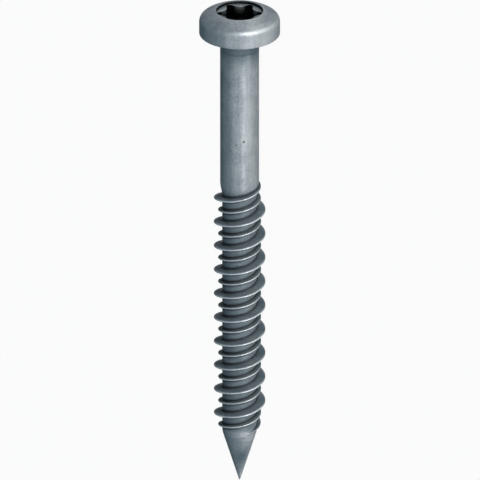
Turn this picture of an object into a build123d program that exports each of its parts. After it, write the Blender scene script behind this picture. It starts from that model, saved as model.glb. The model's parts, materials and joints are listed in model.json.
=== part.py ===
from build123d import *
from dataclasses import dataclass
import math
import os

# Concrete screw of 6.3 x 60 mm, one forged and rolled piece of steel. It has a flat washer head with
# a lobed drive recess, a plain shank under it, and a high-low thread that fades out at a cone point.
# Lengths are millimetres and angles are degrees. The screw is built upright, with the bearing face of
# its head at height 0 and its point downwards, and is then laid on its side as it comes to rest.

# Along the axis, measured from the bearing face towards the point
LENGTH = 60.0
NECK_LENGTH = 2.2
SHANK_LENGTH = 20.2
THREAD_START = 20.0

# Across the axis
HEAD_DIAMETER = 9.75
NECK_DIAMETER = 4.75
SHANK_DIAMETER = 4.7
CORE_DIAMETER = 4.22
HIGH_CREST_DIAMETER = 6.24
LOW_CREST_DIAMETER = 5.21

# Head
HEAD_HEIGHT = 2.78
WALL_HEIGHT = 1.31
CORNER_RADIUS = 0.86
CORNER_TURN = 60.0
RIM_CHAMFER = 0.15
NECK_CHAMFER = 0.3

# Drive recess: a lobed socket with a flat floor, sunk from the floor of a shallow round mouth
LOBES = 6
LOBE_TIP_DIAMETER = 5.6
RIB_TIP_DIAMETER = 3.95
LOBE_RADIUS = 0.45
RECESS_DEPTH = 2.1
MOUTH_DIAMETER = 5.72
MOUTH_DEPTH = 0.4

# Steps in the shank, and the cone of the point with its small blunt end
NECK_TAPER = 40.0
SHANK_TAPER = 10.0
POINT_ANGLE = 34.0
POINT_DIAMETER = 0.12

# Thread: two sharp right-hand ridges of one lead, the low one half a lead after the high one. A crest
# rises by RISE each turn where it leaves the shank, and drops by FALL each turn to its end, which is
# HIGH_END or LOW_END above the base of the cone.
LEAD = 3.2
START_ANGLE = 72.0
FLANK_ANGLE = 17.0
RISE = 1.08
FALL = 2.16
HIGH_END = 0.16
LOW_END = -0.11

# Rest: the angle about the axis of the side that faces down. The screw lies lowest on its sides from
# 0 to 90 degrees, and it stays still on this one.
SIDE_DOWN = 29.0

# How far apart the sections of a ridge are, the small turn over which its heading is read, and how
# deep its root and its ends lie in the metal
STATION_ANGLE = 30.0
SHORT_TURN = 0.001
ROOT_DEPTH = 0.2
END_DEPTH = 0.1

HEAD_R = HEAD_DIAMETER / 2
NECK_R = NECK_DIAMETER / 2
SHANK_R = SHANK_DIAMETER / 2
CORE_R = CORE_DIAMETER / 2
MOUTH_R = MOUTH_DIAMETER / 2
LOBE_TIP_R = LOBE_TIP_DIAMETER / 2
RIB_TIP_R = RIB_TIP_DIAMETER / 2
POINT_R = POINT_DIAMETER / 2
ROOT_R = CORE_R - ROOT_DEPTH


def tan(angle):
    """Tangent of an angle in degrees."""
    return math.tan(math.radians(angle))


def polar(radius, angle):
    """Plane vector of a length and an angle in degrees."""
    return Vector(radius * math.cos(math.radians(angle)), radius * math.sin(math.radians(angle)))


# Heights where the neck, the taper of the shank and the core end
NECK_END = -NECK_LENGTH - (NECK_R - SHANK_R) / tan(NECK_TAPER)
TAPER_END = -SHANK_LENGTH - (SHANK_R - CORE_R) / tan(SHANK_TAPER)
CONE_BASE = -LENGTH + (CORE_R - POINT_R) / tan(POINT_ANGLE / 2)


def turned_body():
    """Head, neck, shank, core and point, turned from one half section."""
    mouth_edge = (MOUTH_R, HEAD_HEIGHT)
    wall_top = (HEAD_R, WALL_HEIGHT)
    corner_end = Vector(HEAD_R - CORNER_RADIUS, WALL_HEIGHT) + polar(CORNER_RADIUS, CORNER_TURN)
    rim = [(HEAD_R, RIM_CHAMFER), (HEAD_R - RIM_CHAMFER, 0)]
    under_head = [(NECK_R + NECK_CHAMFER, 0), (NECK_R, -NECK_CHAMFER)]
    neck = [(NECK_R, -NECK_LENGTH), (SHANK_R, NECK_END)]
    taper = [(SHANK_R, -SHANK_LENGTH), (CORE_R, TAPER_END)]
    cone = [(CORE_R, CONE_BASE), (POINT_R, -LENGTH)]

    with BuildSketch() as half_section:
        with BuildLine():
            TangentArc(wall_top, corner_end, tangent=(0, 1))
            TangentArc(corner_end, mouth_edge, tangent=polar(1, CORNER_TURN + 90))
            Polyline(mouth_edge, (0, HEAD_HEIGHT), (0, -LENGTH), cone[-1])
            Polyline(wall_top, *rim, *under_head, *neck, *taper, *cone)
        make_face()
    return revolve(Plane.XZ * half_section.sketch, Axis.Z)


def lobed_outline():
    """Outline of the socket: small lobes, joined by wide ribs that bulge towards the axis."""
    half_step = 180 / LOBES
    lobe_centre = polar(LOBE_TIP_R - LOBE_RADIUS, 0)
    along_rib = lobe_centre.X * math.cos(math.radians(half_step))
    rib_radius = (lobe_centre.X**2 + RIB_TIP_R**2 - 2 * along_rib * RIB_TIP_R - LOBE_RADIUS**2) / (
        2 * (along_rib + LOBE_RADIUS - RIB_TIP_R)
    )
    rib_centre = polar(RIB_TIP_R + rib_radius, half_step)
    lobe_end = lobe_centre + (rib_centre - lobe_centre).normalized() * LOBE_RADIUS
    lobe_start = Vector(lobe_end.X, -lobe_end.Y)
    lobe = ThreePointArc(lobe_start, polar(LOBE_TIP_R, 0), lobe_end)
    rib = ThreePointArc(lobe_end, polar(RIB_TIP_R, half_step), lobe_start.rotate(Axis.Z, 2 * half_step))
    return make_face([place * arc for place in PolarLocations(0, LOBES) for arc in (lobe, rib)])


def drive_recess():
    """What the drive recess takes out of the head: the lobed socket and its round mouth."""
    top = Plane.XY.offset(HEAD_HEIGHT)
    socket = extrude(top * lobed_outline(), -RECESS_DEPTH)
    return socket + extrude(top * Circle(MOUTH_R), -MOUTH_DEPTH)


@dataclass(frozen=True)
class Ridge:
    """A helical ridge of the thread, measured in turns from the height where its crest meets the shank."""

    crest_radius: float
    start_height: float
    end_height: float

    @property
    def turns(self):
        """Turns from the shank to the end of the crest on the core."""
        return (self.start_height - self.end_height) / LEAD

    def radius(self, turn):
        """Radius of the crest, which rises from the shank, runs level and drops to the core."""
        rising = SHANK_R + RISE * turn
        falling = CORE_R + FALL * (self.turns - turn)
        return min(self.crest_radius, rising, falling)

    def corners(self, turn):
        """Three corners of the ridge's section: root, crest and root, from head to point."""
        radius = self.radius(turn)
        height = self.start_height - LEAD * turn
        direction = polar(1, START_ANGLE - 360 * turn)
        root_half = (radius - ROOT_R) * tan(FLANK_ANGLE)
        return [
            direction * ROOT_R + Vector(0, 0, height + root_half),
            direction * radius + Vector(0, 0, height),
            direction * ROOT_R + Vector(0, 0, height - root_half),
        ]

    def heading(self, turn):
        """How far the three corners move for each turn of the ridge."""
        before, after = self.corners(turn - SHORT_TURN / 2), self.corners(turn + SHORT_TURN / 2)
        return [(end - start) * (1 / SHORT_TURN) for start, end in zip(before, after)]

    def stretch(self, first, last):
        """Solid of the ridge between two of its turns, with its faces ruled between three curves."""
        steps = max(2, math.ceil((last - first) * 360 / STATION_ANGLE))
        turns = [first + (last - first) * step / steps for step in range(steps + 1)]
        sections = [self.corners(turn) for turn in turns]
        start, end = self.heading(first), self.heading(last)
        curves = [
            Edge.make_spline(
                [section[corner] for section in sections],
                tangents=[start[corner], end[corner]],
                parameters=turns,
                scale=False,
            )
            for corner in range(3)
        ]
        faces = [Face.make_surface_from_curves(curves[side - 1], curves[side]) for side in range(3)]
        caps = [Face(Wire.make_polygon(section, close=True)) for section in (sections[0], sections[-1])]
        return Solid(Shell(faces + caps))

    def solids(self):
        """The whole ridge, one turn at a time, with both ends hidden in the metal."""
        first = (CORE_R - END_DEPTH - SHANK_R) / RISE
        last = self.turns + END_DEPTH / FALL
        count = math.ceil(last - first)
        ends = [first + (last - first) * index / count for index in range(count + 1)]
        return [self.stretch(start, end) for start, end in zip(ends, ends[1:])]


HIGH_RIDGE = Ridge(HIGH_CREST_DIAMETER / 2, -THREAD_START, CONE_BASE + HIGH_END)
LOW_RIDGE = Ridge(LOW_CREST_DIAMETER / 2, -THREAD_START - LEAD / 2, CONE_BASE + LOW_END)


def tilt_on_crests(side_down):
    """Angle by which the axis drops towards the point when the side at an angle faces down."""
    tilts = []
    for ridge in (HIGH_RIDGE, LOW_RIDGE):
        for step in range(int(ridge.turns * 360)):
            turn = step / 360
            reach = ridge.radius(turn) * math.cos(math.radians(START_ANGLE - 360 * turn - side_down))
            along = RIM_CHAMFER + LEAD * turn - ridge.start_height
            tilts.append(math.degrees(math.atan2(HEAD_R - reach, along)))
    return min(tilts)


def laid_to_rest(screw):
    """The screw on its side, on the rim of its head and its last crests, centred over the origin."""
    tilt = tilt_on_crests(SIDE_DOWN)
    lying = Rot(X=tilt - 90) * Rot(Z=90 - SIDE_DOWN) * screw
    box = lying.bounding_box()
    return Pos(-box.center().X, -box.center().Y, -box.min.Z) * lying


upright = turned_body() - drive_recess()
upright = upright.fuse(*HIGH_RIDGE.solids()).fuse(*LOW_RIDGE.solids())
concrete_screw = laid_to_rest(upright)

os.makedirs("parts", exist_ok=True)
export_step(concrete_screw, "parts/concrete_screw.step")
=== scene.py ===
"""Looks of the concrete screw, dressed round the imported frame.

The screw is modelled upright in millimetres, with the bearing face of its head at height 0 and its point
downwards, and is then laid on its side where the frame's drive recess says it rests. It is one piece of
coated steel: a forged head, a plain shank, a rolled high-low thread and a cone point.
"""

import json
import logging
import math
from dataclasses import dataclass, field
from enum import Enum

import bmesh
import bpy
from mathutils import Matrix, Vector


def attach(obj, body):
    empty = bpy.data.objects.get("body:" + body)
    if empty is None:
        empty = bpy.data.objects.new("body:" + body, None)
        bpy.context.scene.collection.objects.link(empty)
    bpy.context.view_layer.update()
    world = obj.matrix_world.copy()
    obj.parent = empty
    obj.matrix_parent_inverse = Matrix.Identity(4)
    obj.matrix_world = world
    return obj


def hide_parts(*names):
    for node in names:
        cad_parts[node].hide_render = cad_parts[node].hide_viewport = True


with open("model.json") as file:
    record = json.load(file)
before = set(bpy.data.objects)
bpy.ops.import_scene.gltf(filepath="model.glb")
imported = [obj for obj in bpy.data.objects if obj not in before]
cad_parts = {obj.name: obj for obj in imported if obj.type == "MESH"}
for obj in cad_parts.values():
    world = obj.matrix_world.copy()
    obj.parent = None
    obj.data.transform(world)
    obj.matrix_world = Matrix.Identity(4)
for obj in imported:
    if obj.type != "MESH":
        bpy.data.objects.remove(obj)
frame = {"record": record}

LOG = logging.getLogger("screw")
MILLIMETRE = 0.001
STEPS_AROUND = 120
MERGE_DISTANCE = 0.0005
EDGE_MARGIN = 0.05
LEAST_DEPTH = 0.0001
SMALLEST = 0.000001

Point2 = tuple[float, float]
Point3 = tuple[float, float, float]
Colour = tuple[float, float, float]
Ring = tuple[list[Vector], list[float]]
Socket = bpy.types.NodeSocket


class Mark(Enum):
    """Masks that are stored on the mesh's points, for the finish to read."""

    # Real wear on the crests, with painted highlights there and on the shoulder, the wall and the shank.
    WEAR_AND_HIGHLIGHT = "worn"
    # Painted shadow in the thread's roots and in the neck's crease, and darker dent bottoms.
    ROOT = "root"
    # Painted shade: the head's shadow on the neck, the valleys, the flanks and the two sides, and a darker cloud on
    # the cone.
    SHADE = "shade"
    # Painted shade down the socket and on its ledge.
    RECESS = "recess"


class Side(Enum):
    """The two sides of a ridge: towards the head, and towards the point."""

    HEADWARD = 1
    POINTWARD = -1


def tan(angle: float) -> float:
    """Tangent of an angle in degrees."""
    return math.tan(math.radians(angle))


def mix(start: float, end: float, share: float) -> float:
    """Value at a share of the way from start to end."""
    return start + (end - start) * share


def polar(radius: float, angle: float) -> Vector:
    """Plane vector of a length and an angle in radians."""
    return Vector((radius * math.cos(angle), radius * math.sin(angle)))


def azimuth_of(point: Vector) -> float:
    """Angle of a point round the axis, in degrees from the front of the screw to its right."""
    return math.degrees(math.atan2(point.x, -point.y))


def around_axis(point: Vector) -> float:
    """Distance of a point from the axis."""
    return math.hypot(point.x, point.y)


def hump(value: float, centre: float, spread: float) -> float:
    """Bell curve that is 1 at its centre and falls to 0.37 at its spread."""
    away = (value - centre) / spread
    return math.exp(-away * away)


def arc(centre: Point2, radius: float, start: float, end: float, count: int) -> list[Point2]:
    """Points along a round corner in the plane of the axis.

    Args:
        centre: middle of the arc, as (radius, height).
        radius: radius of the arc.
        start: angle of the first point, in degrees.
        end: angle of the last point, in degrees.
        count: how many steps there are between the two.

    Returns:
        The points, with both ends.
    """
    angles = [math.radians(mix(start, end, index / count)) for index in range(count + 1)]
    return [(centre[0] + radius * math.cos(angle), centre[1] + radius * math.sin(angle)) for angle in angles]


def smooth_corner(lower: float, upper: float, width: float) -> float:
    """Smaller of two values, with the corner between them rounded.

    Args:
        lower: one of the two values.
        upper: the other value.
        width: difference between the two within which they blend.

    Returns:
        The smaller value, or a little less near the corner.
    """
    blend = max(width - abs(lower - upper), 0.0) / width
    return min(lower, upper) - blend * blend * width / 4


def deselect_objects() -> None:
    """Leaves object mode ready for a new primitive, with nothing selected."""
    if bpy.context.object and bpy.context.object.mode != "OBJECT":
        bpy.ops.object.mode_set(mode="OBJECT")
    bpy.ops.object.select_all(action="DESELECT")


def choose(obj: bpy.types.Object) -> None:
    """Makes an object the only selected and active one.

    Args:
        obj: the object.
    """
    deselect_objects()
    obj.select_set(True)
    bpy.context.view_layer.objects.active = obj


def select_edge_loop(obj: bpy.types.Object, low: float, high: float) -> None:
    """Selects the open edges of the mesh in edit mode between two heights, or next to them.

    Args:
        obj: object in edit mode.
        low: lowest height of the edges.
        high: highest height of the edges.
    """
    bpy.ops.mesh.select_mode(type="EDGE")
    mesh = bmesh.from_edit_mesh(obj.data)
    for edge in mesh.edges:
        inside = all(low - EDGE_MARGIN <= vert.co.z <= high + EDGE_MARGIN for vert in edge.verts)
        edge.select_set(edge.is_boundary and inside)
    mesh.select_flush_mode()
    bmesh.update_edit_mesh(obj.data)


def weld() -> None:
    """Selects the whole mesh in edit mode and merges the points that lie together."""
    bpy.ops.mesh.select_all(action="SELECT")
    bpy.ops.mesh.remove_doubles(threshold=MERGE_DISTANCE)


def write_mark(obj: bpy.types.Object, mark: Mark, values: list[float]) -> None:
    """Stores one value for each point of a mesh under a mark's name.

    Args:
        obj: mesh object in object mode.
        mark: name that the finish reads.
        values: one value for each point, in the mesh's order.
    """
    layer = obj.data.attributes.get(mark.value)
    if layer is None:
        layer = obj.data.attributes.new(mark.value, "FLOAT", "POINT")
    layer.data.foreach_set("value", values)


def draw_line(points: list[Point2], name: str) -> bpy.types.Object:
    """Draws a line by merging a plane to one point and extruding that point along the line.

    Args:
        points: points of the line in the plane of the axis, as (radius, height).
        name: name of the new object.

    Returns:
        The new object, in object mode.
    """
    deselect_objects()
    bpy.ops.mesh.primitive_plane_add(size=1.0, location=(0.0, 0.0, 0.0))
    obj = bpy.context.active_object
    obj.name = obj.data.name = name
    bpy.ops.object.mode_set(mode="EDIT")
    bpy.ops.mesh.select_mode(type="VERT")
    bpy.ops.mesh.select_all(action="SELECT")
    bpy.ops.mesh.merge(type="CENTER")
    bpy.ops.transform.translate(value=(points[0][0], 0.0, points[0][1]))
    for start, end in zip(points, points[1:]):
        step = (end[0] - start[0], 0.0, end[1] - start[1])
        bpy.ops.mesh.extrude_vertices_move(TRANSFORM_OT_translate={"value": step})
    bpy.ops.object.mode_set(mode="OBJECT")
    return obj


@dataclass
class Dent:
    """A small knock in the surface, placed by its azimuth from the front and its distance below the head."""

    azimuth: float
    below_head: float
    reach: float
    depth: float

    def at(self, point: Vector) -> float:
        """Depth of the dent at a point of the surface, in millimetres.

        Args:
            point: point of the surface.

        Returns:
            The depth, which is next to nothing beyond the reach of the dent.
        """
        turned = (azimuth_of(point) - self.azimuth + 180) % 360 - 180
        across = math.radians(turned) * around_axis(point)
        return self.depth * hump(math.hypot(across, point.z + self.below_head), 0.0, self.reach)


@dataclass
class Body:
    """What the head and the ridges stand on: neck, shank, core and cone point, all turned about the axis."""

    length: float = 60.0
    neck_radius: float = 2.375
    neck_length: float = 2.2
    shank_radius: float = 2.35
    shank_length: float = 20.2
    shank_taper: float = 10.0
    core_radius: float = 2.11
    point_angle: float = 34.0
    point_radius: float = 0.06
    corner_width: float = 0.05
    # Dent bottoms are darker, more so the deeper they are.
    dent_dark_depth: float = 0.025
    undarkened_share: float = 0.6
    # Painted shade on the screw's left and right sides.
    right_painted_shade: float = 0.34
    left_painted_shade: float = 0.2
    dents: list[Dent] = field(
        default_factory=lambda: [
            Dent(12.5, 13.66, 0.2, 0.045),
            Dent(-11.3, 14.1, 0.18, 0.032),
            Dent(-3.0, 20.0, 0.2, 0.036),
            Dent(68.2, 9.21, 0.25, 0.02),
            Dent(-38.0, 6.3, 0.4, 0.012),
            Dent(152.0, 11.4, 0.3, 0.032),
            Dent(-141.0, 7.9, 0.25, 0.03),
        ]
    )

    @property
    def cone_base(self) -> float:
        """Height of the edge between the core and the cone of the point."""
        return -self.length + (self.core_radius - self.point_radius) / tan(self.point_angle / 2)

    def radius(self, height: float) -> float:
        """Radius of the shank, core and cone at a height, with their corners eased.

        Args:
            height: height above the bearing face of the head.

        Returns:
            The radius in millimetres.
        """
        tapering = self.shank_radius + (height + self.shank_length) * tan(self.shank_taper)
        straight = max(self.core_radius, smooth_corner(self.shank_radius, tapering, self.corner_width))
        cone = self.point_radius + (height + self.length) * tan(self.point_angle / 2)
        return max(smooth_corner(straight, cone, self.corner_width), self.point_radius / 2)

    def painted_side_shade(self, point: Vector) -> float:
        """How much painted shade there is on the screw's two sides, as seen from the camera, at a point."""
        across = point.x / max(around_axis(point), SMALLEST)
        return self.right_painted_shade * across**2 if across > 0.0 else self.left_painted_shade * across**4

    def dent_darkness(self, depth: float) -> float:
        """How dark the bottom of a dent is, from its depth in millimetres."""
        return max(0.0, min(1.0, depth / self.dent_dark_depth - self.undarkened_share))

    def knock(self, obj: bpy.types.Object) -> list[float]:
        """Presses the dents into the surface of an object.

        Args:
            obj: the object, in object mode.

        Returns:
            How deep each of its points was pressed in, in millimetres.
        """
        depths = []
        for vert in obj.data.vertices:
            depths.append(sum(dent.at(vert.co) for dent in self.dents))
            if depths[-1] > LEAST_DEPTH:
                vert.co.xy *= 1.0 - depths[-1] / around_axis(vert.co)
        return depths


@dataclass
class DriveRecess:
    """Six-lobe socket in the top of the head, sunk from the floor of a shallow round mouth.

    The rings say how far down or in each ring of points lies, and how dark it is with painted shade.
    The mouth's rings have a scale between the two. The bend's has its share, its drop and its darkness,
    and the edge's has its drop and its darkness on the ribs and in the lobes.
    """

    lobes: int = 6
    lobe_tip_radius: float = 2.8
    rib_tip_radius: float = 1.975
    lobe_radius: float = 0.45
    mouth_radius: float = 2.86
    mouth_depth: float = 0.4
    wall_depth: float = 2.0
    floor_depth: float = 2.3
    edge_radius: float = 0.035
    # Painted shade on the ledge beside the two ribs next to the front one.
    shaded_rib_azimuth: float = 60.0
    shaded_rib_spread: float = 30.0
    rib_shade: float = 0.5
    mouth_inset: float = 0.99
    ledge_margin: float = 1.2
    ledge_limit: float = 0.975
    socket_inset: float = 0.1
    lobe_onset: float = 2.5
    floor_drop: float = 0.06
    mouth_rings: tuple[Point3, ...] = (
        (0.105, 0.997, 0.35),
        (0.35, 0.996, 0.9),
        (0.75, 0.995, 1.0),
        (0.95625, 0.995, 1.0),
        (1.0, 0.99, 0.7),
    )
    ledge_rings: tuple[Point2, ...] = ((0.15, 0.15), (0.5, 0.0), (0.85, 0.0), (1.0, 0.05))
    bend_ring: Point3 = (0.35, 0.15, 0.1)
    edge_ring: Point3 = (0.9, 0.2, 0.9)
    wall_rings: tuple[Point2, ...] = ((0.04, 0.3), (0.15, 0.5), (0.35, 0.85), (0.65, 1.0), (0.9, 1.0), (1.0, 1.0))
    floor_rings: tuple[float, ...] = (0.97, 0.9, 0.7, 0.4, 0.12)

    def outline(self, count: int) -> list[Vector]:
        """Points of the socket's outline, at even distances, starting at the tip of a lobe.

        Args:
            count: how many points go round the whole outline.

        Returns:
            The points, counter-clockwise.
        """
        half_step = math.pi / self.lobes
        lobe_centre = self.lobe_tip_radius - self.lobe_radius
        along_rib = lobe_centre * math.cos(half_step)
        rib_radius = (
            lobe_centre**2 + self.rib_tip_radius**2 - 2 * along_rib * self.rib_tip_radius - self.lobe_radius**2
        ) / (2 * (along_rib + self.lobe_radius - self.rib_tip_radius))
        rib_centre = polar(self.rib_tip_radius + rib_radius, half_step)
        lobe_turn = math.atan2(rib_centre.y, rib_centre.x - lobe_centre)
        lobe_length = lobe_turn * self.lobe_radius
        half_length = lobe_length + (lobe_turn - half_step) * rib_radius

        points = []
        for index in range(count):
            period, share = divmod(index * 2 * self.lobes / count, 2)
            walked = share * half_length
            mirrored = walked > half_length
            if mirrored:
                walked = 2 * half_length - walked
            if walked <= lobe_length:
                point = Vector((lobe_centre, 0.0)) + polar(self.lobe_radius, walked / self.lobe_radius)
            else:
                point = rib_centre + polar(rib_radius, math.pi + lobe_turn - (walked - lobe_length) / rib_radius)
            angle = math.atan2(point.y, point.x)
            if mirrored:
                angle = 2 * half_step - angle
            points.append(polar(point.length, angle + period * 2 * half_step))
        return points

    def ledge_dark(self, point: Vector, dark: float) -> float:
        """How dark the ledge is at a point, with painted shade on the two ribs beside the front one."""
        away = (abs(azimuth_of(point)) - self.shaded_rib_azimuth) / self.shaded_rib_spread
        return mix(dark, max(dark, self.rib_shade), max(0.0, 1.0 - away * away))

    def rings(self, count: int, top: float) -> list[Ring]:
        """Rings of points down the mouth's wall, over its floor and down the socket to the middle of its end.

        Args:
            count: how many points each ring has.
            top: height of the mouth's edge.

        Returns:
            The rings, each in the order of the head's own points from angle 0, and how dark each point is.
        """
        edge = self.edge_radius
        ledge, end = top - self.mouth_depth, top - self.wall_depth
        outline = self.outline(count)
        outward = []
        for index, point in enumerate(outline):
            along = outline[(index + 1) % count] - outline[index - 1]
            outward.append(Vector((along.y, -along.x)).normalized())
        round_mouth = [polar(self.mouth_radius, math.tau * index / count) for index in range(count)]

        def ring(points: list[Vector], height: float, dark: float, in_lobes: float, scale: float = 1.0) -> Ring:
            """Ring of points at a height, with how dark it is at the ribs and in the lobes."""
            placed = [Vector((point.x * scale, point.y * scale, height)) for point in points]
            return placed, [mix(dark, in_lobes, lobe) for lobe in lobed]

        def shaded_ledge(points: list[Vector], height: float, dark: float) -> Ring:
            """Ring of points on the ledge, with its painted shade."""
            placed = ring(points, height, dark, dark)[0]
            return placed, [self.ledge_dark(point, dark) for point in placed]

        def between(starts: list[Vector], ends: list[Vector], share: float) -> list[Vector]:
            """Points at a share of the way from one ring to another."""
            return [start.lerp(end, share) for start, end in zip(starts, ends)]

        inside = [point * self.mouth_inset for point in round_mouth]
        outer = [point + normal * edge * self.ledge_margin for point, normal in zip(outline, outward)]
        outer = [point * min(1.0, self.ledge_limit * self.mouth_radius / point.length) for point in outer]
        inner = [point - normal * edge * self.socket_inset for point, normal in zip(outline, outward)]
        ribs_to_lobes = self.lobe_tip_radius - self.rib_tip_radius
        lobed = [min(1.0, self.lobe_onset * (point.length - self.rib_tip_radius) / ribs_to_lobes) for point in outline]
        rings = [
            ring(round_mouth, mix(top, ledge, share), dark, dark, scale) for share, scale, dark in self.mouth_rings
        ]
        rings += [shaded_ledge(between(inside, outer, share), ledge, dark) for share, dark in self.ledge_rings]
        share, drop, dark = self.bend_ring
        rings.append(shaded_ledge(between(outline, outer, share), ledge - drop * edge, dark))
        drop, dark, in_lobes = self.edge_ring
        rings.append(ring(inner, ledge - drop * edge, dark, in_lobes))
        rings += [ring(outline, mix(ledge, end, share), dark, 1.0) for share, dark in self.wall_rings]
        for share in self.floor_rings:
            height = top - mix(self.floor_depth, self.wall_depth + self.floor_drop, share)
            rings.append(ring(outline, height, 1.0, 1.0, share))
        return rings


@dataclass
class Head:
    """Flat washer head with its rounded shoulder, forged in one with the neck and the plain shank."""

    body: Body
    recess: DriveRecess
    radius: float = 4.875
    height: float = 2.78
    wall_height: float = 1.31
    wall_bottom: float = -0.2
    corner_radius: float = 0.86
    corner_turn: float = 60.0
    rim_radius: float = 0.08
    neck_fillet: float = 0.18
    # Painted highlight on the shoulder, strongest towards the front right, and a fainter one on the wall.
    shoulder_highlight_turn: float = 37.0
    shoulder_highlight_reach: float = 24.0
    shoulder_highlight_azimuth: float = 32.0
    shoulder_highlight_spread: float = 24.0
    shoulder_highlight_strength: float = 0.7
    shoulder_highlight_all_round: float = 0.16
    wall_highlight: float = 0.18
    mouth_wear: float = 0.14
    mouth_wear_reach: float = 0.55
    mouth_slack: float = 0.02
    corner_slack: float = 0.03
    # Painted highlight stripe along the shank.
    shank_highlight: float = 0.12
    shank_highlight_azimuth: float = 28.0
    shank_highlight_spread: float = 9.0
    # Painted shadow of the head on the neck and the top of the shank, deeper and longer on the right.
    neck_shadow_reach: float = 2.6
    neck_shadow_strength: float = 0.58
    neck_shadow_right_reach: float = 1.6
    neck_shadow_right_strength: float = 0.27
    neck_shadow_fall: float = 1.2
    # Painted shade line in the crease where the neck steps down to the shank.
    crease_strength: float = 0.4
    crease_span: Point2 = (0.005, 0.1)
    shank_end: float = -16.35
    row_height: float = 0.15
    mouth_lip: Point2 = (-0.002, -0.008)
    mouth_edge: tuple[float, float] = (0.5, 1.3)
    neck_edge: tuple[Point2, ...] = ((0.0, 0.02), (-0.012, -0.012), (-0.05, -0.05))
    shank_edge: tuple[Point2, ...] = ((-0.02, -0.12), (0.0, -0.2))

    def dome(self) -> list[Point2]:
        """Points of the slightly crowned top, from the mouth of the recess out to the shoulder.

        Returns:
            The points, with both ends.
        """
        turn = math.radians(self.corner_turn)
        start = Vector((self.radius - self.corner_radius, self.wall_height)) + polar(self.corner_radius, turn)
        end = Vector((self.recess.mouth_radius, self.height))
        bend = math.atan2(end.y - start.y, end.x - start.x) - turn - math.pi / 2
        crown = (end - start).length / (2 * math.sin(bend))
        return arc(start - polar(crown, turn), crown, self.corner_turn + 2 * math.degrees(bend), self.corner_turn, 8)

    def profile(self) -> list[Point2]:
        """Points from the mouth of the recess, over the head and the neck, to the end of the shank.

        Returns:
            The points as (radius, height), whose first lies just inside the mouth.
        """
        dome = self.dome()
        mouth = Vector(dome[0])
        along = (Vector(dome[1]) - mouth).normalized() * self.recess.edge_radius
        points = [tuple(mouth + Vector(self.mouth_lip))]
        points += [tuple(mouth + along * share) for share in self.mouth_edge]
        points += dome[1:]
        low, rim, bend = self.wall_bottom, self.rim_radius, self.corner_radius
        points += arc((self.radius - bend, self.wall_height), bend, self.corner_turn, 0.0, 12)[1:]
        points += [(self.radius, mix(self.wall_height, low + rim, share)) for share in (0.33, 0.67)]
        points += arc((self.radius - rim, low + rim), rim, 0.0, -90.0, 5)
        neck, fillet = self.body.neck_radius, self.neck_fillet
        points += [(mix(self.radius - rim, neck + fillet, share), low) for share in (0.4, 0.8)]
        points += arc((neck + fillet, low - fillet), fillet, 90.0, 180.0, 6)
        shoulder = -self.body.neck_length
        points += [(neck, mix(low - fillet, shoulder, share)) for share in (0.3, 0.6, 0.85)]
        points += [(neck + out, shoulder + up) for out, up in self.neck_edge]
        shank = self.body.shank_radius
        points += [(shank + out, shoulder + up) for out, up in self.shank_edge]
        top = points[-1][1]
        rows = round((top - self.shank_end) / self.row_height)
        points += [(shank, mix(top, self.shank_end, index / rows)) for index in range(1, rows + 1)]
        return points

    def build(self) -> bpy.types.Object:
        """Spins the profile round the axis and sinks the recess into it.

        Returns:
            The head, neck and shank as one open mesh in millimetres.
        """
        obj = draw_line(self.profile(), "head_and_shank")
        bpy.ops.object.mode_set(mode="EDIT")
        bpy.ops.mesh.select_all(action="SELECT")
        bpy.ops.mesh.spin(steps=STEPS_AROUND, angle=math.tau, center=(0.0, 0.0, 0.0), axis=(0.0, 0.0, 1.0))
        weld()
        self.sink_recess(obj)
        bpy.ops.object.mode_set(mode="OBJECT")
        depths = self.body.knock(obj)
        points = [vert.co for vert in obj.data.vertices]
        # Darker dent bottoms and the painted shade line at the neck's step, then painted highlights, and painted shade
        # on the neck and the sides.
        dark = [max(self.body.dent_darkness(depth), self.crease_at(point)) for depth, point in zip(depths, points)]
        write_mark(obj, Mark.ROOT, dark)
        write_mark(obj, Mark.WEAR_AND_HIGHLIGHT, [self.wear_and_highlight_at(point) for point in points])
        write_mark(obj, Mark.SHADE, [self.shade_at(point) for point in points])
        return obj

    def sink_recess(self, obj: bpy.types.Object) -> None:
        """Extrudes the mouth's edge inwards ring by ring, and closes the floor at its middle.

        Args:
            obj: the spun head, in edit mode.
        """
        mesh = bmesh.from_edit_mesh(obj.data)
        mesh.verts.layers.float.new(Mark.RECESS.value)
        around = mesh.verts.layers.int.new("around")
        for vert in mesh.verts:
            turn = math.atan2(vert.co.y, vert.co.x) / math.tau
            vert[around] = round(turn * STEPS_AROUND) % STEPS_AROUND
        bmesh.update_edit_mesh(obj.data)
        select_edge_loop(obj, self.height, self.height)
        for ring, dark in self.recess.rings(STEPS_AROUND, self.height):
            bpy.ops.mesh.extrude_region_move()
            mesh = bmesh.from_edit_mesh(obj.data)
            around = mesh.verts.layers.int["around"]
            darkness = mesh.verts.layers.float[Mark.RECESS.value]
            for vert in mesh.verts:
                if vert.select:
                    vert.co = ring[vert[around]]
                    vert[darkness] = dark[vert[around]]
            bmesh.update_edit_mesh(obj.data)
        bpy.ops.mesh.merge(type="CENTER")
        bpy.ops.mesh.select_all(action="DESELECT")
        mesh = bmesh.from_edit_mesh(obj.data)
        mesh.verts.layers.int.remove(mesh.verts.layers.int["around"])
        bmesh.update_edit_mesh(obj.data)

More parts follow.
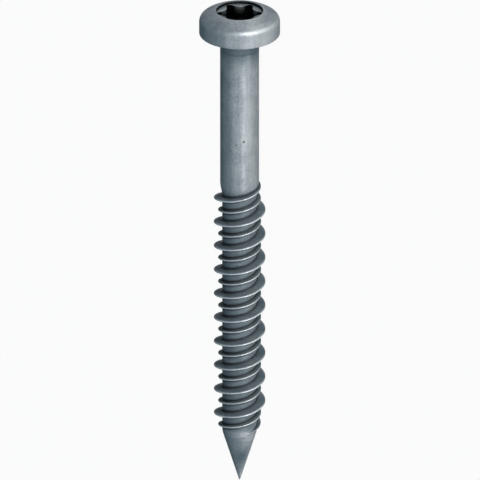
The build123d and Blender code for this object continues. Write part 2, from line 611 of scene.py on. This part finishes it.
    def wear_and_highlight_at(self, point: Vector) -> float:
        """How bright the coating is at a point: painted highlights on the shoulder, on the wall and along the shank,
        and a lighter band round the mouth.

        Args:
            point: point of the head, neck or shank.

        Returns:
            The brightness, from 0 to 1.
        """
        azimuth, outward = azimuth_of(point), around_axis(point)
        if point.z < -self.body.neck_length:
            return self.shank_highlight * hump(azimuth, self.shank_highlight_azimuth, self.shank_highlight_spread)
        beyond = (outward - self.recess.mouth_radius) / self.mouth_wear_reach
        if point.z > self.height - self.mouth_wear_reach and -self.mouth_slack < beyond < 1.0:
            return self.mouth_wear * (1.0 - beyond)
        out, up = outward - (self.radius - self.corner_radius), point.z - self.wall_height
        if out <= 0.0 or math.hypot(out, up) < self.corner_radius - self.corner_slack:
            return 0.0
        away = (math.degrees(math.atan2(up, out)) - self.shoulder_highlight_turn) / self.shoulder_highlight_reach
        most = hump(azimuth, self.shoulder_highlight_azimuth, self.shoulder_highlight_spread)
        shoulder = self.shoulder_highlight_strength * mix(self.shoulder_highlight_all_round, 1.0, most) * max(0.0, 1.0 - away * away)
        return max(shoulder, self.wall_highlight * most if point.z > self.wall_bottom + self.rim_radius else 0.0)

    def shade_at(self, point: Vector) -> float:
        """How much painted shade there is at a point: the head's painted shadow on the neck, deeper on the right, and
        painted shade on the screw's two sides.

        Args:
            point: point of the head, neck or shank.

        Returns:
            The painted shade, from 0 to 1.
        """
        sideways = self.body.painted_side_shade(point)
        outward = around_axis(point)
        if point.z > self.wall_bottom + 0.01 or outward > self.radius - self.rim_radius:
            return sideways
        right = max(0.0, point.x / outward)
        below = max(0.0, -point.z - self.body.neck_length) / (self.neck_shadow_reach + self.neck_shadow_right_reach * right)
        strength = self.neck_shadow_strength + self.neck_shadow_right_strength * right
        return max(sideways, strength * max(0.0, 1.0 - below) ** self.neck_shadow_fall)

    def crease_at(self, point: Vector) -> float:
        """How dark the painted shade line is at a point, that runs round the shank where the neck steps down to it."""
        below = -point.z - self.body.neck_length
        return self.crease_strength if self.crease_span[0] < below < self.crease_span[1] else 0.0


@dataclass(frozen=True)
class Ridge:
    """One of the two ridges of the thread, measured in turns from where its crest leaves the shank."""

    crest_radius: float
    below_high: float
    end_above_cone: float


@dataclass(frozen=True)
class Station:
    """One point of the thread's section: offset from the high crest, radius, and how strong its marks are."""

    offset: float
    radius: float
    worn: float = 0.0
    root: float = 0.0
    shade: float = 0.0


@dataclass
class Thread:
    """Right-hand high-low thread, rolled as one surface with the core, shank end and cone that carry it."""

    body: Body
    lead: float = 3.2
    start_height: float = -19.85
    start_angle: float = 72.0
    rise: float = 1.08
    fall: float = 2.16
    high: Ridge = Ridge(3.12, 0.0, 0.16)
    low: Ridge = Ridge(2.605, 1.6, -0.11)
    full_height: float = 0.52
    land_half: float = 0.06
    land_ease: float = 0.02
    flank_angle: float = 15.0
    fillet_reach: float = 0.14
    root_reach: float = 0.1
    spacing: float = 0.012
    least_land: float = 0.4
    flat_share: float = 0.6
    fillet_share: float = 0.6
    # Painted shadow in the roots, deeper on the left, and painted shade on the flanks, lands and valleys, most on the
    # two sides.
    dark_root_height: float = 0.3
    shaded_flank_height: float = 0.2
    front_root_shadow: float = 0.88
    flank_shade: float = 0.46
    side_shade: float = 0.34
    # The crests' painted highlight fades towards the two sides.
    side_highlight_loss: float = 0.95
    valley_shade: float = 0.58
    tip_shade: float = 0.78
    tip_shade_azimuth: float = 15.0
    tip_shade_below: float = 56.4
    tip_shade_spread: float = 60.0
    tip_shade_reach: float = 2.1
    wear_rise: float = 1.5
    highlight_fall: float = 6.0
    flank_rise: float = 4.0
    land_rise: float = 2.0
    last_turn: float = 12.0
    turns: int = 15
    top_cut: float = -16.5
    bottom_cut: float = -57.0
    tip_rows: int = 9
    tip_end: float = 0.06
    tip_edge: float = 0.02
    tip_flat: float = 0.55

    def crest_radius(self, ridge: Ridge, turn: float) -> float:
        """Radius of a ridge's crest, which rises from the shank, runs level and drops to the core.

        Args:
            ridge: the ridge.
            turn: turns since its crest left the shank.

        Returns:
            The radius in millimetres.
        """
        end_height = self.body.cone_base + ridge.end_above_cone
        all_turns = (self.start_height - ridge.below_high - end_height) / self.lead
        rising = self.body.shank_radius + self.rise * turn
        falling = self.body.core_radius + self.fall * (all_turns - turn)
        return min(ridge.crest_radius, rising, falling)

    def rightward(self, turn: float) -> float:
        """How far to the right, as the picture shows it, a turn of the thread lies, from -1 to 1."""
        return math.cos(math.radians(self.start_angle) - math.tau * turn)

    def across(self, turn: float) -> float:
        """How far to one of the two sides that the picture shows a turn of the thread lies, from 0 to 1."""
        return abs(self.rightward(turn))

    def crest_wear_and_highlight(self, tall: float, turn: float) -> float:
        """How worn and bright a crest is that stands so many millimetres tall, from 0 to 1: wear that grows with its
        height, with a painted highlight that is most on its front and fades towards the two sides.
        """
        loss = self.side_highlight_loss * self.across(turn) ** self.highlight_fall
        return min(1.0, tall / self.full_height) ** self.wear_rise * (1.0 - loss)

    def valley(self, turn: float) -> float:
        """How much painted shade there is between the ridges, from the height at which they stand.

        Args:
            turn: turns since the high crest left the shank.

        Returns:
            The painted shade, from 0 to 1.
        """
        height = self.start_height - self.lead * turn
        tall = self.crest_radius(self.high, turn) - self.body.radius(height)
        return self.valley_shade * max(0.0, min(1.0, tall / self.full_height))

    def steep(self, turn: float) -> float:
        """How much painted shade there is on the flanks, which is most on the two sides of the screw."""
        return self.flank_shade + self.side_shade * self.across(turn) ** self.flank_rise

    def land(self, turn: float) -> float:
        """How much painted shade there is on the narrow lands of the crests, which is most on the screw's sides."""
        return self.steep(turn) * self.across(turn) ** self.land_rise

    def crest_at(self, ridge: Ridge, turn: float) -> Point2:
        """Radius and height of a ridge's crest at a turn, which lies on the body beyond the ridge's ends."""
        centre = self.start_height - self.lead * turn - ridge.below_high
        return max(self.crest_radius(ridge, turn), self.body.radius(centre)), centre

    def half_section(self, ridge: Ridge, side: Side, turn: float) -> list[Station]:
        """Points of one side of a ridge, from beside its crest down its flank to its root.

        Args:
            ridge: the ridge.
            side: which side of the ridge.
            turn: turns since the high crest left the shank.

        Returns:
            Ten stations, each further from the ridge's crest than the one before.
        """
        crest, centre = self.crest_at(ridge, turn)
        slope = tan(self.flank_angle)
        tall = crest - self.body.radius(centre)
        ease = min(self.land_ease, tall / 2)
        land_half = self.land_half * mix(self.least_land, 1.0, min(1.0, tall / self.full_height))
        reach = land_half
        for _ in range(3):
            root = self.body.radius(centre + side.value * reach)
            reach = land_half + max(crest - ease - root, 0.0) * slope
        flank = max(crest - ease - root, 0.0)
        fillet = min(self.fillet_reach, self.fillet_share * flank)
        top = Vector((land_half, crest - ease))
        corner = Vector((reach, root))
        above = corner + Vector((-slope, 1.0)).normalized() * fillet
        beyond = Vector((reach + fillet, self.body.radius(centre + side.value * (reach + fillet))))

        crested, valley = self.crest_wear_and_highlight(tall, turn), self.valley(turn)
        left = max(0.0, -self.rightward(turn))
        root_shadow = min(1.0, tall / self.dark_root_height) * mix(self.front_root_shadow, 1.0, left)
        land, flanked = self.land(turn), self.steep(turn) * min(1.0, tall / self.shaded_flank_height)
        # Each point: wear with a painted highlight on the crest, painted shadow in the root, and painted shade on the
        # flank and in the valley.
        drawn = [
            (Vector((self.flat_share * land_half, crest)), crested, 0.0, land),
            (top, crested, 0.0, land),
            (top.lerp(above, 0.07), 0.7 * crested, 0.0, mix(flanked, land, 0.5)),
            (top.lerp(above, 0.2), 0.0, 0.0, flanked),
            (top.lerp(above, 0.7), 0.0, mix(0.1, 0.35, left) * root_shadow, flanked),
            (above, 0.0, mix(0.45, 0.95, left) * root_shadow, flanked),
        ]
        for share, strength in ((0.35, 0.85), (0.7, 1.0)):
            bent = above.lerp(corner, share).lerp(corner.lerp(beyond, share), share)
            drawn.append((bent, 0.0, strength * root_shadow, mix(flanked, valley, share)))
        drawn.append((beyond, 0.0, 0.85 * root_shadow, valley))
        drawn.append((beyond + Vector((self.root_reach, 0.0)), 0.0, 0.4 * root_shadow, valley))

        stations, offset = [], 0.0
        for point, worn_mark, root_mark, shade_mark in drawn:
            offset = max(point.x, offset + self.spacing)
            ground = self.body.radius(centre + side.value * offset)
            radius = ground if point.x > beyond.x else max(point.y, ground)
            stations.append(
                Station(side.value * offset - ridge.below_high, radius, worn_mark, root_mark, shade_mark)
            )
        return stations

    def section(self, turn: float) -> list[Station]:
        """Points of the thread over one lead, from head to point, as offsets from the high crest.

        Args:
            turn: turns since the high crest left the shank.

        Returns:
            The stations, whose offsets fall from a quarter of a lead above the high crest.
        """
        middle = self.start_height - self.lead * turn
        first = self.lead / 4

        def on_body(offset: float) -> Station:
            """Station on the plain body at an offset, with the painted shade that the thread's valley has there."""
            return Station(offset, self.body.radius(middle + offset), 0.0, 0.0, self.valley(turn - offset / self.lead))

        stations = [on_body(first)]
        for ridge in (self.high, self.low):
            crest, centre = self.crest_at(ridge, turn)
            worn = self.crest_wear_and_highlight(crest - self.body.radius(centre), turn)
            up, down = (self.half_section(ridge, side, turn) for side in (Side.HEADWARD, Side.POINTWARD))
            start, end = stations[-1].offset, up[-1].offset
            shares = (0.5,) if ridge is self.high else (0.25, 0.5, 0.75)
            stations += [on_body(mix(start, end, share)) for share in shares]
            stations += [*reversed(up), Station(-ridge.below_high, crest, worn, 0.0, self.land(turn)), *down]
        last = first - self.lead
        stations.append(on_body(mix(stations[-1].offset, last, 0.5)))
        stations.append(on_body(last))
        return stations

    def build(self) -> bpy.types.Object:
        """Turns one lead of the section into a helix, then draws its end out to the point.

        Returns:
            The threaded length as an open tube in millimetres, closed to a point at its lower end.
        """
        pattern = self.section(self.turns / 3)
        obj = draw_line([(station.radius, station.offset) for station in pattern], "thread")
        heights = [vert.co.z for vert in obj.data.vertices]
        row_of = {index: row for row, index in enumerate(sorted(range(len(heights)), key=lambda i: -heights[i]))}

        helix = obj.modifiers.new("helix", "SCREW")
        helix.axis, helix.angle = "Z", math.tau
        helix.screw_offset, helix.iterations = self.lead, self.turns
        helix.steps = helix.render_steps = STEPS_AROUND
        helix.use_merge_vertices = False
        bpy.ops.object.modifier_apply(modifier=helix.name)

        placed = []
        for step in range(self.turns * STEPS_AROUND + 1):
            turn = self.last_turn - step / STEPS_AROUND
            stations = self.section(turn)
            angle = math.radians(self.start_angle) - math.tau * turn
            middle = self.start_height - self.lead * turn
            for index in range(len(pattern)):
                station = stations[row_of[index]]
                obj.data.vertices[len(placed)].co = (
                    station.radius * math.cos(angle),
                    station.radius * math.sin(angle),
                    middle + station.offset,
                )
                placed.append(station)
        write_mark(obj, Mark.WEAR_AND_HIGHLIGHT, [station.worn for station in placed])
        write_mark(obj, Mark.ROOT, [station.root for station in placed])
        write_mark(obj, Mark.SHADE, [station.shade for station in placed])

        bpy.ops.object.mode_set(mode="EDIT")
        weld()
        for height, clears in ((self.top_cut, {"clear_outer": True}), (self.bottom_cut, {"clear_inner": True})):
            bpy.ops.mesh.select_all(action="SELECT")
            bpy.ops.mesh.bisect(
                plane_co=(0.0, 0.0, height), plane_no=(0.0, 0.0, 1.0), threshold=MERGE_DISTANCE, **clears
            )
        self.draw_out_point(obj)
        bpy.ops.object.mode_set(mode="OBJECT")
        self.body.knock(obj)
        shade = obj.data.attributes[Mark.SHADE.value].data
        # Painted shade on the two sides above the cone, and a darker cloud on the cone.
        for vert in obj.data.vertices:
            sideways = self.body.painted_side_shade(vert.co) if vert.co.z > self.body.cone_base else 0.0
            shade[vert.index].value = max(shade[vert.index].value, self.tip_shade_at(vert.co), sideways)
        return obj

    def tip_shade_at(self, point: Vector) -> float:
        """How much darker and duller the cone is at a point, in a cloud on its lower half."""
        turned = hump(azimuth_of(point), self.tip_shade_azimuth, self.tip_shade_spread)
        return self.tip_shade * turned * hump(point.z, -self.tip_shade_below, self.tip_shade_reach)

    def draw_out_point(self, obj: bpy.types.Object) -> None:
        """Extrudes the lower edge along the cone to the blunt tip, and closes it.

        Args:
            obj: the cut helix, in edit mode.
        """
        select_edge_loop(obj, self.bottom_cut, self.bottom_cut)
        tip = -self.body.length
        heights = [mix(self.bottom_cut, tip + self.tip_end, row / self.tip_rows) for row in range(self.tip_rows + 1)]
        rows = [(self.body.radius(height), height) for height in heights]
        rows += [(self.body.point_radius, tip + self.tip_edge), (self.body.point_radius * self.tip_flat, tip)]
        for (radius, height), (narrower, lower) in zip(rows, rows[1:]):
            bpy.ops.mesh.extrude_region_move(TRANSFORM_OT_translate={"value": (0.0, 0.0, lower - height)})
            bpy.ops.transform.resize(
                value=(narrower / radius, narrower / radius, 1.0),
                center_override=(0.0, 0.0, lower),
                use_proportional_edit=False,
            )
        bpy.ops.mesh.merge(type="CENTER")
        bpy.ops.mesh.select_all(action="DESELECT")


@dataclass(frozen=True)
class NodeSheet:
    """A node tree, with the sums and blends that are laid out on it."""

    tree: bpy.types.NodeTree

    def feed(self, socket: Socket, value: Socket | float | Colour) -> None:
        """Links a socket to another one, or sets it to a number or a colour.

        Args:
            socket: the socket to fill.
            value: another socket, a number or a colour.
        """
        if isinstance(value, Socket):
            self.tree.links.new(value, socket)
        else:
            socket.default_value = (*value, 1.0) if isinstance(value, tuple) else value

    def sum_of(self, operation: str, *values: Socket | float, clamped: bool = True) -> Socket:
        """Result of an operation on sockets or numbers.

        Args:
            operation: name of the operation.
            values: what it works on.
            clamped: whether the result is kept between 0 and 1.

        Returns:
            The socket with the result.
        """
        node = self.tree.nodes.new("ShaderNodeMath")
        node.operation, node.use_clamp = operation, clamped
        for socket, value in zip(node.inputs, values):
            self.feed(socket, value)
        return node.outputs[0]

    def total(self, *parts: tuple[Socket, float], clamped: bool = True) -> Socket:
        """Total of masks, each of them times its own share.

        Args:
            parts: the masks and their shares.
            clamped: whether the total is kept between 0 and 1.

        Returns:
            The socket with the total.
        """
        scaled = [self.sum_of("MULTIPLY", mask, share) for mask, share in parts]
        result = scaled[0]
        for part in scaled[1:]:
            result = self.sum_of("ADD", result, part, clamped=clamped)
        return result

    def blend(self, share: Socket, under: Socket | Colour, over: Colour) -> Socket:
        """Colour that goes from under to over with a mask.

        Args:
            share: the mask.
            under: socket or colour where the mask is 0.
            over: colour where the mask is 1.

        Returns:
            The socket with the colour.
        """
        node = self.tree.nodes.new("ShaderNodeMix")
        node.data_type = "RGBA"
        self.feed(node.inputs["Factor"], share)
        first, second = (socket for socket in node.inputs if socket.type == "RGBA")
        self.feed(first, under)
        self.feed(second, over)
        return next(socket for socket in node.outputs if socket.type == "RGBA")

    def mask_of(self, mark: Mark) -> Socket:
        """Value of a mark on the mesh.

        Args:
            mark: the mark.

        Returns:
            The socket with its value at each point.
        """
        node = self.tree.nodes.new("ShaderNodeAttribute")
        node.attribute_name = mark.value
        return node.outputs["Fac"]


class StretchedNoise:
    """A node group of clouds, specks or streaks, from 0 to 1, with sizes of its own across and along the axis."""

    numbers: tuple[str, ...] = ("Across", "Along", "Detail", "Contrast")

    def __init__(self) -> None:
        """Makes the group and its sockets, and spreads out the middle values of its noise by the contrast."""
        self.tree = bpy.data.node_groups.new("stretched_noise", "ShaderNodeTree")
        sheet, nodes, interface = NodeSheet(self.tree), self.tree.nodes, self.tree.interface
        interface.new_socket("Vector", in_out="INPUT", socket_type="NodeSocketVector")
        for label in self.numbers:
            interface.new_socket(label, in_out="INPUT", socket_type="NodeSocketFloat").default_value = 1.0
        interface.new_socket("Mask", in_out="OUTPUT", socket_type="NodeSocketFloat")
        given = nodes.new("NodeGroupInput").outputs
        stretch = nodes.new("ShaderNodeCombineXYZ")
        for socket, label in zip(stretch.inputs, ("Across", "Across", "Along")):
            sheet.feed(socket, given[label])
        scaled = nodes.new("ShaderNodeVectorMath")
        scaled.operation = "MULTIPLY"
        sheet.feed(scaled.inputs[0], given["Vector"])
        sheet.feed(scaled.inputs[1], stretch.outputs[0])
        noise = nodes.new("ShaderNodeTexNoise")
        for label, value in (("Vector", scaled.outputs[0]), ("Scale", 1.0), ("Detail", given["Detail"])):
            sheet.feed(noise.inputs[label], value)
        centred = sheet.sum_of("SUBTRACT", noise.outputs["Fac"], 0.5, clamped=False)
        mask = sheet.sum_of("MULTIPLY_ADD", centred, given["Contrast"], 0.5)
        sheet.feed(nodes.new("NodeGroupOutput").inputs["Mask"], mask)

    def put_in(self, sheet: NodeSheet, vector: Socket, values: tuple[float, ...]) -> Socket:
        """Places the group in a material.

        Args:
            sheet: node tree of the material.
            vector: coordinates in millimetres that the noise is laid out on.
            values: what goes into the group's four numbers, in their order.

        Returns:
            The socket with the mask.
        """
        node = sheet.tree.nodes.new("ShaderNodeGroup")
        node.node_tree = self.tree
        for label, value in zip(("Vector", *self.numbers), (vector, *values)):
            sheet.feed(node.inputs[label], value)
        return node.outputs["Mask"]


@dataclass(frozen=True)
class CoatedSteel:
    """Semi-matte grey coating on steel, worn bright on the crests, with painted highlights there and on the shoulder,
    and painted shade in the roots, the socket, on the neck, between the ridges and on the sides.

    Clouds, specks, rolled and drawn marks are each given by how many go to a millimetre across and along the
    axis, by their detail and by their contrast.
    """

    clouds: tuple[float, ...] = (0.55, 0.55, 4.0, 3.0)
    specks: tuple[float, ...] = (4.5, 4.5, 3.0, 2.2)
    rolled: tuple[float, ...] = (0.35, 5.5, 2.0, 2.5)
    drawn: tuple[float, ...] = (2.4, 0.25, 2.0, 2.0)
    base: Colour = (0.58, 0.61, 0.63)
    cloudy: Colour = (0.29, 0.325, 0.35)
    # Painted shade, painted shadow in the roots, painted shade in the socket, and wear with painted highlights.
    painted_shade_colour: Colour = (0.042, 0.085, 0.108)
    root: Colour = (0.01, 0.013, 0.015)
    socket: Colour = (0.004, 0.0045, 0.005)
    worn: Colour = (0.92, 0.96, 0.98)
    edge_tint: Colour = (0.12, 0.12, 0.12)
    cloud_share: float = 0.38
    speck_share: float = 0.5
    line_share: float = 0.34
    least_wear: float = 0.5
    ragged_wear: float = 0.7
    roughness: float = 0.38
    cloud_roughness: float = 0.08
    rolled_roughness: float = 0.05
    dull_roughness: float = 0.2
    metallic: float = 0.72
    dull_loss: float = 0.65
    threaded_below: float = -20.4
    grain_height: float = 0.012
    speck_bump: float = 0.5
    rolled_bump: float = 0.35
    drawn_bump: float = 0.6

    def build(self, placing: Matrix) -> bpy.types.Material:
        """Builds the coating on coordinates that run along the screw's own axis, in millimetres.

        Args:
            placing: matrix that lays the upright screw at rest.

        Returns:
            The material.
        """
        material = bpy.data.materials.new("coated_steel")
        material.use_nodes = True
        sheet, nodes = NodeSheet(material.node_tree), material.node_tree.nodes
        shader = nodes["Principled BSDF"].inputs
        sheet.feed(shader["Specular Tint"], self.edge_tint)

        mapping = nodes.new("ShaderNodeMapping")
        location, rotation, scale = placing.inverted().decompose()
        mapping.inputs["Location"].default_value = location
        mapping.inputs["Rotation"].default_value = rotation.to_euler()
        mapping.inputs["Scale"].default_value = scale
        sheet.feed(mapping.inputs["Vector"], nodes.new("ShaderNodeTexCoord").outputs["Object"])
        along_axis = mapping.outputs["Vector"]
        parts = nodes.new("ShaderNodeSeparateXYZ")
        sheet.feed(parts.inputs[0], along_axis)
        threaded = sheet.sum_of("LESS_THAN", parts.outputs["Z"], self.threaded_below)

        noise = StretchedNoise()
        clouds, specks, rolled, drawn = (
            noise.put_in(sheet, along_axis, values) for values in (self.clouds, self.specks, self.rolled, self.drawn)
        )
        along = sheet.sum_of("MULTIPLY", drawn, sheet.sum_of("SUBTRACT", 1.0, threaded))
        lines = sheet.sum_of("ADD", along, sheet.sum_of("MULTIPLY", rolled, threaded))
        blotches = sheet.total((clouds, self.cloud_share), (specks, self.speck_share), (lines, self.line_share))
        ragged = sheet.sum_of("MULTIPLY_ADD", specks, self.ragged_wear, self.least_wear)
        shade = sheet.mask_of(Mark.SHADE)
        colour: Socket | Colour = self.base
        # Random tone, then painted shade, painted shade in the roots and the socket, and wear with painted highlights
        # on top.
        for mask, over in (
            (blotches, self.cloudy),
            (shade, self.painted_shade_colour),
            (sheet.mask_of(Mark.ROOT), self.root),
            (sheet.mask_of(Mark.RECESS), self.socket),
            (sheet.sum_of("MULTIPLY", sheet.mask_of(Mark.WEAR_AND_HIGHLIGHT), ragged), self.worn),
        ):
            colour = sheet.blend(mask, colour, over)
        sheet.feed(shader["Base Color"], colour)

        uneven = sheet.total(
            (clouds, self.cloud_roughness), (rolled, self.rolled_roughness), (shade, self.dull_roughness)
        )
        sheet.feed(shader["Roughness"], sheet.sum_of("ADD", uneven, self.roughness))
        bare = sheet.sum_of("SUBTRACT", 1.0, sheet.sum_of("MULTIPLY", shade, self.dull_loss))
        sheet.feed(shader["Metallic"], sheet.sum_of("MULTIPLY", bare, self.metallic))

        bump = nodes.new("ShaderNodeBump")
        bump.inputs["Strength"].default_value = 1.0
        bump.inputs["Distance"].default_value = self.grain_height * MILLIMETRE
        height = sheet.total(
            (specks, self.speck_bump), (rolled, self.rolled_bump), (drawn, self.drawn_bump), clamped=False
        )
        sheet.feed(bump.inputs["Height"], height)
        sheet.feed(shader["Normal"], bump.outputs["Normal"])
        return material


@dataclass
class ConcreteScrew:
    """The whole screw: its parts joined to one closed skin, laid at rest and coated."""

    body: Body
    head: Head
    thread: Thread
    finish: CoatedSteel
    smooth_angle: float = 38.0
    side_down: float = 29.0

    def placing(self) -> Matrix:
        """Matrix that lays the upright screw where the frame's drive recess is, on the side it rests on.

        Returns:
            The matrix, which also turns millimetres into metres.
        """
        recess = next(mount for mount in frame["record"]["mounts"] if mount["name"] == "drive_recess")
        axis = Vector(recess["axis"]).normalized()
        level = Vector((1.0, 0.0, 0.0))
        origin = Vector(recess["pos_m"]) - axis * self.head.height * MILLIMETRE
        laid = Matrix((level, axis.cross(level), axis)).transposed().to_4x4()
        turned = Matrix.Rotation(math.radians(90.0 - self.side_down), 4, "Z")
        return Matrix.Translation(origin) @ laid @ turned @ Matrix.Scale(MILLIMETRE, 4)

    def build(self) -> bpy.types.Object:
        """Joins head and thread, closes the seam between them and places the screw.

        Returns:
            The finished screw.
        """
        head = self.head.build()
        LOG.info("head and shank: %d faces", len(head.data.polygons))
        thread = self.thread.build()
        LOG.info("thread and point: %d faces", len(thread.data.polygons))
        choose(head)
        thread.select_set(True)
        bpy.ops.object.join()
        screw = head
        screw.name = screw.data.name = "coated_concrete_screw"
        bpy.ops.object.mode_set(mode="EDIT")
        select_edge_loop(screw, self.thread.top_cut, self.head.shank_end)
        bpy.ops.mesh.bridge_edge_loops()
        weld()
        bpy.ops.mesh.normals_make_consistent(inside=False)
        bpy.ops.mesh.select_all(action="DESELECT")
        bpy.ops.object.mode_set(mode="OBJECT")
        bpy.ops.object.shade_smooth_by_angle(angle=math.radians(self.smooth_angle))
        placing = self.placing()
        screw.matrix_world = placing
        bpy.ops.object.transform_apply(location=True, rotation=True, scale=True)
        screw.data.materials.clear()
        screw.data.materials.append(self.finish.build(placing))
        self.report_skin(screw)
        return screw

    def report_skin(self, screw: bpy.types.Object) -> None:
        """Logs how many triangles the skin has, and whether it is closed.

        Args:
            screw: the finished screw.
        """
        mesh = bmesh.new()
        mesh.from_mesh(screw.data)
        open_edges = sum(1 for edge in mesh.edges if not edge.is_manifold)
        triangles = sum(len(face.verts) - 2 for face in mesh.faces)
        LOG.info("skin: %d triangles, %d open edges, volume %.1f mm3", triangles, open_edges, mesh.calc_volume() * 1e9)
        mesh.free()


@dataclass(frozen=True)
class SoftLamp:
    """A studio lamp with a flat glowing front, placed round the screw as the picture shows it upright.

    The azimuth turns from the front of the screw to its right, and the elevation rises towards its head. The
    length runs along the screw. A brightness of 1 looks as bright as a white floor.
    """

    name: str
    azimuth: float
    elevation: float
    distance: float
    width: float
    length: float
    brightness: float
    colour: Colour = (1.0, 1.0, 1.0)


@dataclass
class Studio:
    """Plain pale floor, soft lamps and the long-lens camera at the photograph's angle."""

    placing: Matrix
    elevation: float = 25.3
    aim_below_head: float = 27.8
    aim_right: float = 0.05
    view_width: float = 58.08
    camera_distance: float = 2.4
    clip: tuple[float, float] = (0.1, 20.0)
    sensor: float = 36.0
    floor_size: float = 8.0
    floor_colour: Colour = (0.86, 0.865, 0.87)
    floor_glow: float = 0.95
    world_colour: Colour = (0.55, 0.83, 1.0)
    world_strength: float = 0.22
    lamps: tuple[SoftLamp, ...] = (
        SoftLamp("key", 26.5, 0.0, 1.0, 0.1, 2.4, 7.6, (1.0, 0.985, 0.965)),
        SoftLamp("top", 26.0, 40.0, 1.0, 0.1, 0.5, 24.5, (1.0, 0.985, 0.965)),
        SoftLamp("fill", -14.0, 0.0, 1.3, 1.2, 2.2, 0.6),
    )

    def direction(self, azimuth: float, elevation: float) -> Vector:
        """Unit vector in the scene, from two angles as the picture shows the screw upright.

        Args:
            azimuth: degrees from the front of the screw to its right.
            elevation: degrees towards its head.

        Returns:
            The vector, which points away from the screw.
        """
        turn, rise = math.radians(azimuth), math.radians(elevation)
        upright = Vector((math.sin(turn) * math.cos(rise), -math.cos(turn) * math.cos(rise), math.sin(rise)))
        return (self.placing.to_3x3() @ upright).normalized()

    def hang(
        self, data: bpy.types.ID, target: Vector, axes: tuple[Vector, Vector, Vector], away: float
    ) -> bpy.types.Object:
        """Adds a lamp or a camera that looks at a target.

        Args:
            data: the lamp or the camera.
            target: point that it looks at.
            axes: its own right, up and back.
            away: distance to the target.

        Returns:
            The lamp's or the camera's object.
        """
        obj = bpy.data.objects.new(data.name, data)
        bpy.context.scene.collection.objects.link(obj)
        obj.matrix_world = Matrix.Translation(target + axes[2] * away) @ Matrix(axes).transposed().to_4x4()
        return obj

    def build_floor(self) -> None:
        """Lays the pale floor that the screw rests on."""
        deselect_objects()
        bpy.ops.mesh.primitive_plane_add(size=self.floor_size, location=(0.0, 0.0, 0.0))
        floor = bpy.context.active_object
        floor.name = "floor"
        floor.data.materials.append(self.floor_finish())

    def floor_finish(self) -> bpy.types.Material:
        """Builds the floor's matte finish, which looks white to the eye and in metal, and keeps a faint shadow.

        Returns:
            The material.
        """
        material = bpy.data.materials.new("pale_floor")
        material.use_nodes = True
        sheet, nodes = NodeSheet(material.node_tree), material.node_tree.nodes
        shader = nodes["Principled BSDF"]
        sheet.feed(shader.inputs["Base Color"], self.floor_colour)
        sheet.feed(shader.inputs["Roughness"], 1.0)
        sheet.feed(shader.inputs["Specular IOR Level"], 0.0)
        path = nodes.new("ShaderNodeLightPath")
        seen = path.outputs["Is Camera Ray"]
        for ray in ("Is Glossy Ray", "Is Transmission Ray"):
            seen = sheet.sum_of("MAXIMUM", seen, path.outputs[ray])
        glow = nodes.new("ShaderNodeEmission")
        sheet.feed(glow.inputs["Strength"], 1.0)
        mixed = nodes.new("ShaderNodeMixShader")
        share = sheet.sum_of("MULTIPLY", seen, self.floor_glow)
        for socket, value in zip(mixed.inputs, (share, shader.outputs[0], glow.outputs[0])):
            sheet.feed(socket, value)
        sheet.feed(nodes["Material Output"].inputs["Surface"], mixed.outputs[0])
        return material

    def build_world(self) -> None:
        """Sets the soft light that comes from all round."""
        world = bpy.data.worlds.new("studio")
        bpy.context.scene.world = world
        world.use_nodes = True
        background = world.node_tree.nodes["Background"]
        background.inputs["Color"].default_value = (*self.world_colour, 1.0)
        background.inputs["Strength"].default_value = self.world_strength

    def build_lamps(self) -> None:
        """Hangs the lamps, each aimed at the middle of the screw with its length along it."""
        middle = self.placing @ Vector((0.0, 0.0, -self.aim_below_head))
        for lamp in self.lamps:
            light = bpy.data.lights.new(lamp.name, "AREA")
            light.shape = "RECTANGLE"
            light.size, light.size_y = lamp.width, lamp.length
            light.color = lamp.colour
            light.energy = lamp.brightness * math.pi * lamp.width * lamp.length
            away = self.direction(lamp.azimuth, lamp.elevation)
            across = self.direction(lamp.azimuth + 90.0, 0.0)
            self.hang(light, middle, (across, away.cross(across), away), lamp.distance)

    def build_camera(self) -> None:
        """Sets up the camera, with the head at the top of the picture."""
        back, right = self.direction(0.0, self.elevation), self.direction(90.0, 0.0)
        data = bpy.data.cameras.new("camera")
        data.sensor_width = self.sensor
        data.lens = self.sensor * self.camera_distance / (self.view_width * MILLIMETRE)
        data.clip_start, data.clip_end = self.clip
        aim = self.placing @ Vector((self.aim_right, 0.0, -self.aim_below_head))
        axes = (right, back.cross(right), back)
        bpy.context.scene.camera = self.hang(data, aim, axes, self.camera_distance)

    def build(self) -> None:
        """Builds floor, world, lamps and camera."""
        self.build_floor()
        self.build_world()
        self.build_lamps()
        self.build_camera()
        bpy.context.scene.view_settings.view_transform = "Standard"


def main() -> None:
    """Builds the screw and the studio, and reports each piece."""
    logging.basicConfig(level=logging.INFO, format="%(name)s: %(message)s")
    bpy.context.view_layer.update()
    body = Body()
    screw_maker = ConcreteScrew(body, Head(body, DriveRecess()), Thread(body), CoatedSteel())
    screw = screw_maker.build()
    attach(screw, "root")
    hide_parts("concrete_screw")
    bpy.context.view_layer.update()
    Studio(screw_maker.placing()).build()
    LOG.info("studio is set")


if __name__ == "__main__":
    main()
